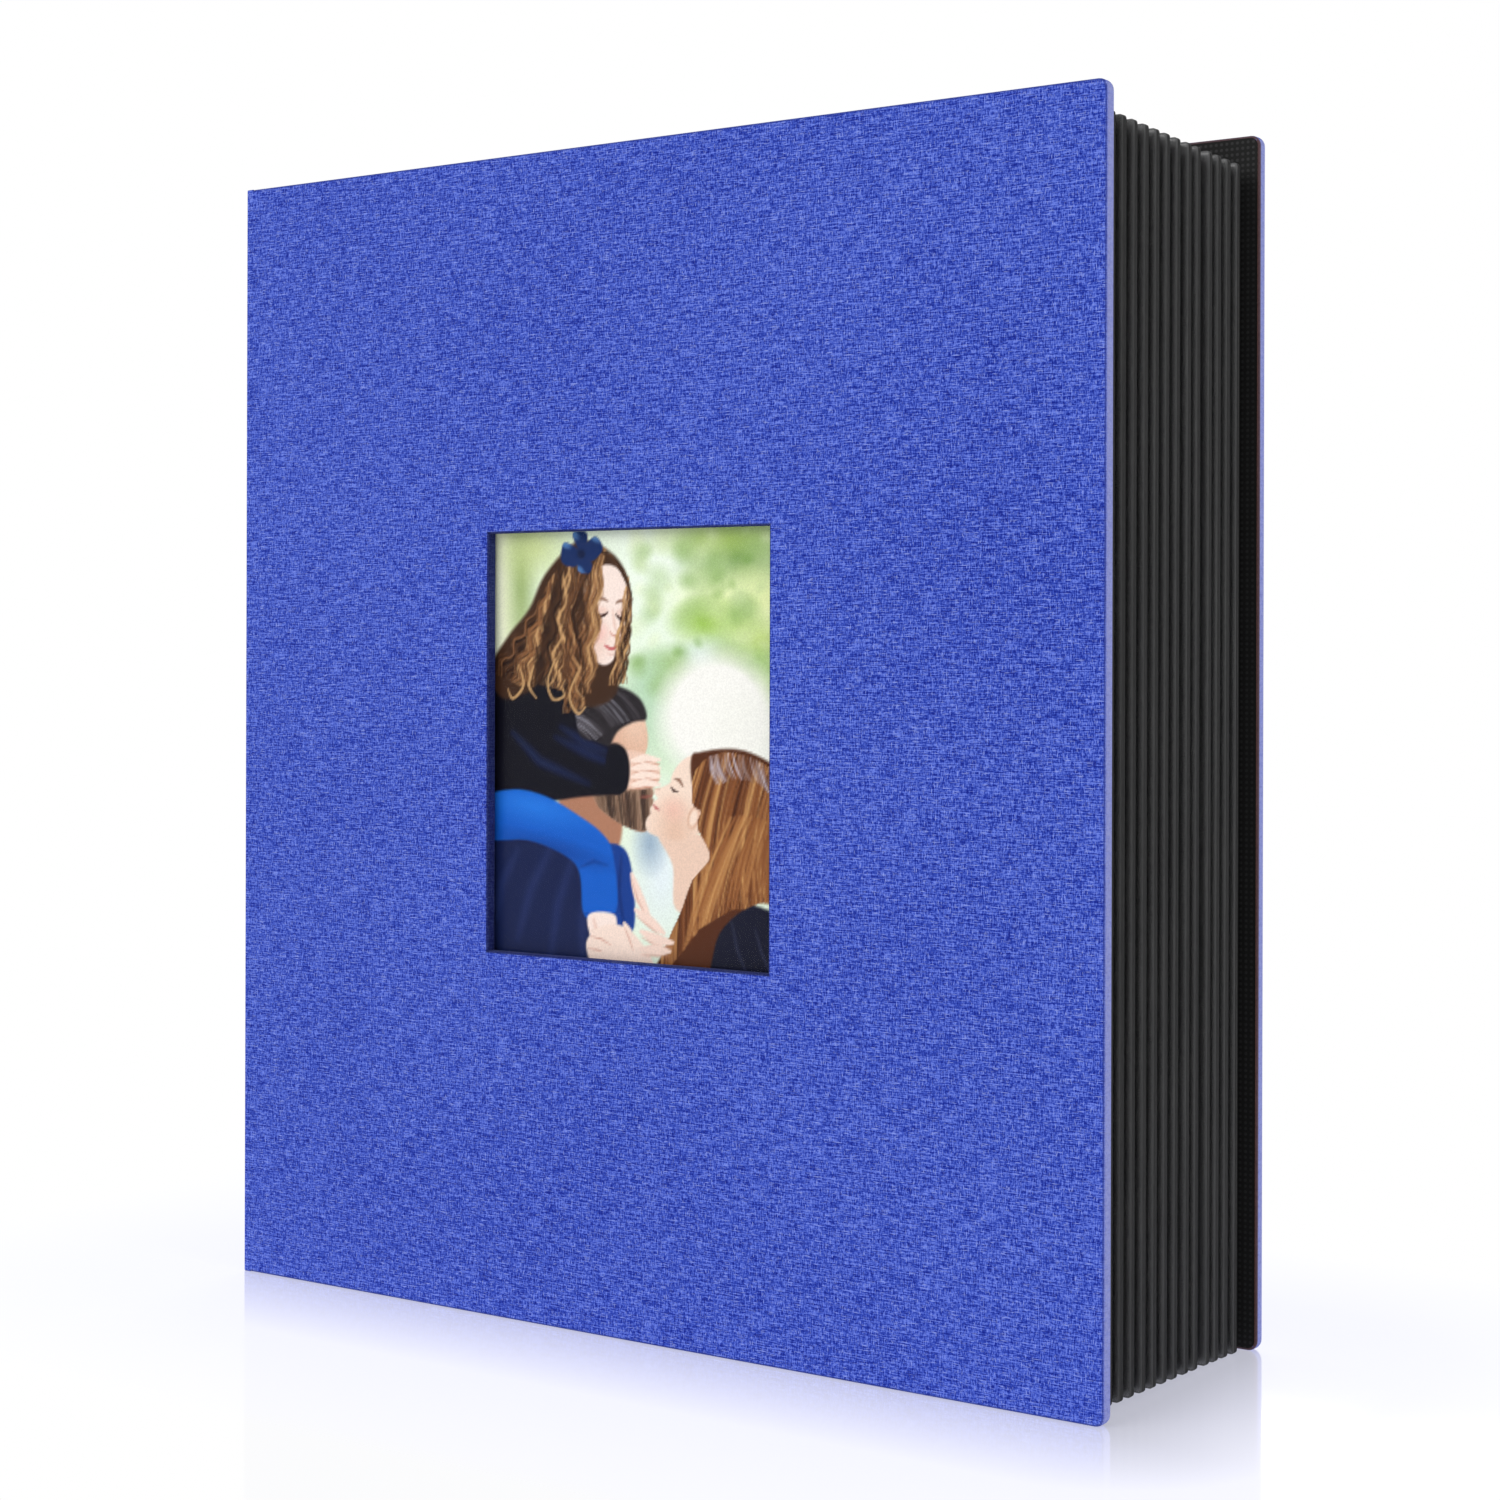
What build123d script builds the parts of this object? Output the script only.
"""Square-back photo and scrapbook album, standing on its tail edges.

A cloth-covered case of three grey boards holds thirteen leaf sections of black pocket sheets.
Units are millimetres. X runs from the spine (-X) to the fore-edge (+X), Y through the
thickness from the front cover (-Y) to the back cover (+Y), and Z up. The origin is the
centre of the footprint.
"""

from build123d import *
import os

# Overall size of the closed album.
WIDTH = 300.0
HEIGHT = 337.0
THICKNESS = 95.0

# Case materials.
CLOTH = 0.4
COVER_BOARD = 2.8
SPINE_BOARD = 2.8
LINING = 0.3
TURN_IN = 16.0
CORNER_RADIUS = 3.0
FACE_EDGE_RADIUS = 0.9
INNER_EDGE_RADIUS = 0.6
LINING_MARGIN = 0.7

# Cover hinge, a strip of cloth round each outer spine corner.
HINGE_STRIP = 3.0
HINGE_RADIUS = 1.0
BOARD_GAP = 0.9
SPINE_BOARD_GAP = 0.6
HINGE_LINING_REACH = 12.0
HINGE_LINING_GAP = 0.15

# Window in the front cover, with the sleeve and the print behind it.
WINDOW_X = -1.5
WINDOW_BELOW_MIDDLE = 1.6
WINDOW_WIDTH = 99.0
WINDOW_HEIGHT = 121.5
WINDOW_TURN_IN = 10.0
LINING_WINDOW_MARGIN = 1.5
PRINT_WIDTH = 101.6
PRINT_HEIGHT = 152.4
PRINT_THICKNESS = 0.25
PRINT_CORNER_RADIUS = 1.0
SLEEVE_FILM = 0.2
SLEEVE_SEAM = 2.5
SLEEVE_CLEARANCE = 0.6
SLEEVE_FACE_CLEARANCE = 0.05
SLEEVE_LIP = 5.0

# Leaf sections.
SECTION_COUNT = 13
SECTION_PITCH = 6.25
SHEETS_PER_SECTION = 4
SHEET_PITCH = 0.48
SHEET_CORE = 0.36
LEAF_CORNER_RADIUS = 1.0
POCKET_FILM = 0.05
FORE_EDGE_RECESS = 3.5
HEAD_SQUARE = 6.2
TAIL_SQUARE = 2.6
FILM_MARGIN = 0.5

# Binding inside the spine.
MULL = 1.0
STUB_LENGTH = 13.6
CREASE_LENGTH = 3.0
CREASE_THICKNESS = 1.5
SPACER_SETBACK = 0.5
GUARD_CLEARANCE = 0.05

# Levels and places that follow from the driving sizes.
SPINE_X = -WIDTH / 2
FORE_X = WIDTH / 2
FACE_Y = THICKNESS / 2
WINDOW_Z = HEIGHT / 2 - WINDOW_BELOW_MIDDLE
TURN_IN_LEVEL = CLOTH + COVER_BOARD
LINING_LEVEL = TURN_IN_LEVEL + CLOTH
COVER_TOTAL = LINING_LEVEL + LINING
HINGE_X = SPINE_X + HINGE_STRIP
HINGE_Y = FACE_Y - TURN_IN_LEVEL - SPINE_BOARD_GAP - CLOTH
SPINE_BOARD_X = SPINE_X + CLOTH
SPINE_INNER_X = SPINE_BOARD_X + SPINE_BOARD
MULL_X = SPINE_INNER_X + CLOTH
STUB_X = MULL_X + MULL
CREASE_X = STUB_X + STUB_LENGTH
SHEET_X = CREASE_X + CREASE_LENGTH
SHEET_END_X = FORE_X - FORE_EDGE_RECESS
SHEET_TOP_Z = HEIGHT - HEAD_SQUARE
SECTION_THICKNESS = (SHEETS_PER_SECTION - 1) * SHEET_PITCH + SHEET_CORE + 2 * POCKET_FILM
HINGE_LINING_X = SPINE_INNER_X + CLOTH
LINING_X = HINGE_LINING_X + HINGE_LINING_REACH
HINGE_LINING_Y = FACE_Y - COVER_TOTAL - HINGE_LINING_GAP
GUARD_Y = HINGE_LINING_Y - LINING - GUARD_CLEARANCE


def depth_plane(depth):
    """Plane parallel to the front cover, depth below its outer face, with its normal outward."""
    return Plane.XZ.offset(FACE_Y - depth)


def leaf_plane(y):
    """Plane across the leaves at height y through the thickness, with its normal towards -Y."""
    return Plane.XZ.offset(-y)


def upright_rectangle(low_x, high_x, low_z, high_z):
    """Rectangle between two corners, drawn in the sketch that is open."""
    with Locations(((low_x + high_x) / 2, (low_z + high_z) / 2)):
        Rectangle(high_x - low_x, high_z - low_z)


def round_fore_corners(sketch, radius):
    """Round the two corners of the open sketch that lie at the fore-edge."""
    fillet(sketch.vertices().group_by(Axis.X)[-1], radius)


def section_y(index):
    """Middle of a section through the thickness, counted from the front cover."""
    return (index - (SECTION_COUNT - 1) / 2) * SECTION_PITCH


def turned_edges(body, level):
    """Edges of a plate at one end through the thickness, except the one along the spine."""
    ring = body.faces().sort_by(Axis.Y)[level].edges()
    return ring - ring.group_by(Axis.X)[0]


def finish(builder, label):
    """Label a finished piece and write it to its own file."""
    builder.part.label = label
    export_step(builder.part, f"parts/{label}.step")


def cover_board():
    """Grey board of one cover, on the front side, without a window."""
    with BuildPart() as board:
        with BuildSketch(depth_plane(CLOTH)) as outline:
            upright_rectangle(SPINE_X + CLOTH + BOARD_GAP, FORE_X - CLOTH, CLOTH, HEIGHT - CLOTH)
            round_fore_corners(outline, CORNER_RADIUS - CLOTH)
        extrude(amount=-COVER_BOARD)
        fillet(turned_edges(board, 0), FACE_EDGE_RADIUS - CLOTH)
        fillet(turned_edges(board, -1), INNER_EDGE_RADIUS - CLOTH)
    return board


def cover_cloth(board, ring_width, ring_height):
    """Cloth round one cover, turned in over three edges, with a patch left for a window ring."""
    with BuildPart() as cloth:
        with BuildSketch(depth_plane(0)) as outline:
            upright_rectangle(HINGE_X, FORE_X, 0, HEIGHT)
            round_fore_corners(outline, CORNER_RADIUS)
        extrude(amount=-LINING_LEVEL)
        fillet(turned_edges(cloth, 0), FACE_EDGE_RADIUS)
        fillet(turned_edges(cloth, -1), INNER_EDGE_RADIUS)
        add(board, mode=Mode.SUBTRACT)
        with BuildSketch(depth_plane(TURN_IN_LEVEL)):
            upright_rectangle(HINGE_X, FORE_X - TURN_IN, TURN_IN, HEIGHT - TURN_IN)
            if ring_width > 0:
                with Locations((WINDOW_X, WINDOW_Z)):
                    Rectangle(ring_width, ring_height, mode=Mode.SUBTRACT)
        extrude(amount=-CLOTH, mode=Mode.SUBTRACT)
    return cloth


def cover_lining(ring_width, ring_height, hole_width, hole_height):
    """Black pastedown of one cover: it lies over the turn-ins and fills the space between them."""
    with BuildPart() as lining:
        with BuildSketch(depth_plane(LINING_LEVEL)) as outline:
            upright_rectangle(LINING_X, FORE_X - LINING_MARGIN, LINING_MARGIN, HEIGHT - LINING_MARGIN)
            round_fore_corners(outline, CORNER_RADIUS - LINING_MARGIN)
            if hole_width > 0:
                with Locations((WINDOW_X, WINDOW_Z)):
                    Rectangle(hole_width, hole_height, mode=Mode.SUBTRACT)
        extrude(amount=-LINING)
        with BuildSketch(depth_plane(TURN_IN_LEVEL)):
            upright_rectangle(LINING_X, FORE_X - TURN_IN, TURN_IN, HEIGHT - TURN_IN)
            if ring_width > 0:
                with Locations((WINDOW_X, WINDOW_Z)):
                    Rectangle(ring_width, ring_height, mode=Mode.SUBTRACT)
        extrude(amount=-CLOTH)
    return lining


def hinge_cloth():
    """Strip of cloth that bends round the outer spine corner of the front cover."""
    with BuildPart() as strip:
        with BuildSketch(Plane.XY):
            with BuildLine() as middle:
                FilletPolyline(
                    (HINGE_X, -FACE_Y + CLOTH / 2),
                    (SPINE_X + CLOTH / 2, -FACE_Y + CLOTH / 2),
                    (SPINE_X + CLOTH / 2, -HINGE_Y),
                    radius=HINGE_RADIUS,
                )
            trace(middle.line, line_width=CLOTH)
        extrude(amount=HEIGHT)
    return strip


def hinge_lining():
    """Folded strip of lining paper between the front cover and the first guard."""
    with BuildPart() as strip:
        cover_side = -FACE_Y + LINING_LEVEL
        guard_side = -GUARD_Y - GUARD_CLEARANCE
        fold_low = -FACE_Y + COVER_TOTAL
        fold_middle = ((HINGE_LINING_X + LINING + LINING_X) / 2, fold_low + HINGE_LINING_GAP / 2)
        with BuildSketch(Plane.XY.offset(TURN_IN)):
            upright_rectangle(HINGE_LINING_X, LINING_X, cover_side, guard_side)
            with Locations(fold_middle):
                Rectangle(LINING_X - HINGE_LINING_X - LINING, HINGE_LINING_GAP, mode=Mode.SUBTRACT)
        extrude(amount=HEIGHT - 2 * TURN_IN)
    return strip


def leaf_strip(low_x, high_x, middle_y, thickness):
    """Plain upright strip of the leaf block, added to the part that is open."""
    with BuildSketch(leaf_plane(middle_y - thickness / 2)) as outline:
        upright_rectangle(low_x, high_x, TAIL_SQUARE, SHEET_TOP_Z)
    extrude(outline.sketch, amount=-thickness)


def sheet_offsets(index):
    """Middle of each sheet of a section through the thickness."""
    first = section_y(index) - (SHEETS_PER_SECTION - 1) / 2 * SHEET_PITCH
    return [first + sheet * SHEET_PITCH for sheet in range(SHEETS_PER_SECTION)]


def section_sheets(index):
    """Black core sheets of one section, with rounded fore-edge corners."""
    with BuildPart() as sheets:
        for middle_y in sheet_offsets(index):
            with BuildSketch(leaf_plane(middle_y - SHEET_CORE / 2)) as outline:
                upright_rectangle(SHEET_X, SHEET_END_X, TAIL_SQUARE, SHEET_TOP_Z)
                round_fore_corners(outline, LEAF_CORNER_RADIUS)
            extrude(amount=-SHEET_CORE)
    return sheets


def section_pockets(index):
    """Clear pocket films of one section, one on each face of every sheet."""
    with BuildPart() as films:
        for middle_y in sheet_offsets(index):
            for low_y in (middle_y - SHEET_CORE / 2 - POCKET_FILM, middle_y + SHEET_CORE / 2):
                with BuildSketch(leaf_plane(low_y)) as outline:
                    upright_rectangle(
                        SHEET_X + FILM_MARGIN,
                        SHEET_END_X - FILM_MARGIN,
                        TAIL_SQUARE + FILM_MARGIN,
                        SHEET_TOP_Z - FILM_MARGIN,
                    )
                    round_fore_corners(outline, LEAF_CORNER_RADIUS - FILM_MARGIN)
                extrude(amount=-POCKET_FILM)
    return films


os.makedirs("parts", exist_ok=True)

# Front cover: board with a window, cloth turned through the window, lining and sleeve.
RING_WIDTH = WINDOW_WIDTH + 2 * WINDOW_TURN_IN
RING_HEIGHT = WINDOW_HEIGHT + 2 * WINDOW_TURN_IN
plain_board = cover_board()

with BuildPart() as front_board:
    add(plain_board.part)
    with BuildSketch(depth_plane(CLOTH)):
        with Locations((WINDOW_X, WINDOW_Z)):
            Rectangle(WINDOW_WIDTH + 2 * CLOTH, WINDOW_HEIGHT + 2 * CLOTH)
    extrude(amount=-COVER_BOARD, mode=Mode.SUBTRACT)
finish(front_board, "front_board")

with BuildPart() as front_cloth:
    add(cover_cloth(front_board.part, RING_WIDTH, RING_HEIGHT).part)
    with BuildSketch(depth_plane(0)):
        with Locations((WINDOW_X, WINDOW_Z)):
            Rectangle(WINDOW_WIDTH, WINDOW_HEIGHT)
    extrude(amount=-LINING_LEVEL, mode=Mode.SUBTRACT)
finish(front_cloth, "front_cloth")

front_lining = cover_lining(
    RING_WIDTH,
    RING_HEIGHT,
    WINDOW_WIDTH + 2 * LINING_WINDOW_MARGIN,
    WINDOW_HEIGHT + 2 * LINING_WINDOW_MARGIN,
)
finish(front_lining, "front_lining")

# Clear sleeve behind the window, open at its head, with the cavity that the print slides in.
CAVITY_DEPTH = PRINT_THICKNESS + 2 * SLEEVE_FACE_CLEARANCE
SLEEVE_TOTAL = CAVITY_DEPTH + 2 * SLEEVE_FILM
PRINT_LOW_X = WINDOW_X - PRINT_WIDTH / 2
PRINT_HIGH_X = WINDOW_X + PRINT_WIDTH / 2
PRINT_LOW_Z = WINDOW_Z - PRINT_HEIGHT / 2
PRINT_HIGH_Z = WINDOW_Z + PRINT_HEIGHT / 2
SLEEVE_LOW_Z = PRINT_LOW_Z - SLEEVE_CLEARANCE - SLEEVE_SEAM
SLEEVE_HIGH_Z = PRINT_HIGH_Z - SLEEVE_LIP

with BuildPart() as window_sleeve:
    with BuildSketch(depth_plane(COVER_TOTAL)):
        border = SLEEVE_CLEARANCE + SLEEVE_SEAM
        upright_rectangle(PRINT_LOW_X - border, PRINT_HIGH_X + border, SLEEVE_LOW_Z, SLEEVE_HIGH_Z)
    extrude(amount=-SLEEVE_TOTAL)
    with BuildSketch(depth_plane(COVER_TOTAL + SLEEVE_FILM)):
        upright_rectangle(
            PRINT_LOW_X - SLEEVE_CLEARANCE,
            PRINT_HIGH_X + SLEEVE_CLEARANCE,
            PRINT_LOW_Z - SLEEVE_CLEARANCE,
            SLEEVE_HIGH_Z,
        )
    extrude(amount=-CAVITY_DEPTH, mode=Mode.SUBTRACT)
finish(window_sleeve, "window_sleeve")

with BuildPart() as cover_print:
    with BuildSketch(depth_plane(COVER_TOTAL + SLEEVE_FILM + SLEEVE_FACE_CLEARANCE)) as outline:
        upright_rectangle(PRINT_LOW_X, PRINT_HIGH_X, PRINT_LOW_Z, PRINT_HIGH_Z)
        fillet(outline.vertices(), PRINT_CORNER_RADIUS)
    extrude(amount=-PRINT_THICKNESS)
finish(cover_print, "cover_print")

# Back cover: the front cover without its window, mirrored through the thickness.
with BuildPart() as back_board:
    mirror(plain_board.part, about=Plane.XZ)
finish(back_board, "back_board")

with BuildPart() as back_cloth:
    mirror(cover_cloth(plain_board.part, 0, 0).part, about=Plane.XZ)
finish(back_cloth, "back_cloth")

with BuildPart() as back_lining:
    mirror(cover_lining(0, 0, 0, 0).part, about=Plane.XZ)
finish(back_lining, "back_lining")

# Spine of the case.
SPINE_BOARD_LENGTH = 2 * (FACE_Y - TURN_IN_LEVEL - SPINE_BOARD_GAP)

with BuildPart() as spine_board:
    with BuildSketch(Plane.XY.offset(CLOTH)):
        with Locations((SPINE_BOARD_X + SPINE_BOARD / 2, 0)):
            Rectangle(SPINE_BOARD, SPINE_BOARD_LENGTH)
    extrude(amount=HEIGHT - 2 * CLOTH)
finish(spine_board, "spine_board")

with BuildPart() as spine_cloth:
    with BuildSketch(Plane.XY):
        with Locations(((SPINE_X + MULL_X) / 2, 0)):
            Rectangle(MULL_X - SPINE_X, 2 * HINGE_Y)
    extrude(amount=HEIGHT)
    add(spine_board.part, mode=Mode.SUBTRACT)
    with BuildSketch(Plane.XY.offset(TURN_IN)):
        with Locations((SPINE_INNER_X + CLOTH / 2, 0)):
            Rectangle(CLOTH, 2 * HINGE_Y)
    extrude(amount=HEIGHT - 2 * TURN_IN, mode=Mode.SUBTRACT)
finish(spine_cloth, "spine_cloth")

front_hinge_cloth = hinge_cloth()
finish(front_hinge_cloth, "front_hinge_cloth")

with BuildPart() as back_hinge_cloth:
    mirror(hinge_cloth().part, about=Plane.XZ)
finish(back_hinge_cloth, "back_hinge_cloth")

front_hinge_lining = hinge_lining()
finish(front_hinge_lining, "front_hinge_lining")

with BuildPart() as back_hinge_lining:
    mirror(hinge_lining().part, about=Plane.XZ)
finish(back_hinge_lining, "back_hinge_lining")

# Binding of the leaf block: glued gauze, stubs, spacer strips and guards, and creases.
with BuildPart() as spine_mull:
    leaf_strip(MULL_X, STUB_X, 0, 2 * GUARD_Y)
finish(spine_mull, "spine_mull")

with BuildPart() as section_stubs:
    for index in range(SECTION_COUNT):
        leaf_strip(STUB_X, CREASE_X, section_y(index), SECTION_THICKNESS)
finish(section_stubs, "section_stubs")

with BuildPart() as binding_spacers:
    for index in range(SECTION_COUNT - 1):
        between = (section_y(index) + section_y(index + 1)) / 2
        leaf_strip(STUB_X, CREASE_X - SPACER_SETBACK, between, SECTION_PITCH - SECTION_THICKNESS)
finish(binding_spacers, "binding_spacers")

with BuildPart() as end_guards:
    block_y = section_y(SECTION_COUNT - 1) + SECTION_THICKNESS / 2
    guard_thickness = GUARD_Y - block_y
    for side in (-1, 1):
        middle_y = side * (block_y + guard_thickness / 2)
        leaf_strip(STUB_X, CREASE_X - SPACER_SETBACK, middle_y, guard_thickness)
finish(end_guards, "end_guards")

with BuildPart() as section_creases:
    for index in range(SECTION_COUNT):
        leaf_strip(CREASE_X, SHEET_X, section_y(index), CREASE_THICKNESS)
finish(section_creases, "section_creases")

# Leaf sections.
for index in range(SECTION_COUNT):
    finish(section_sheets(index), f"section_{index + 1:02d}_sheets")
    finish(section_pockets(index), f"section_{index + 1:02d}_pockets")
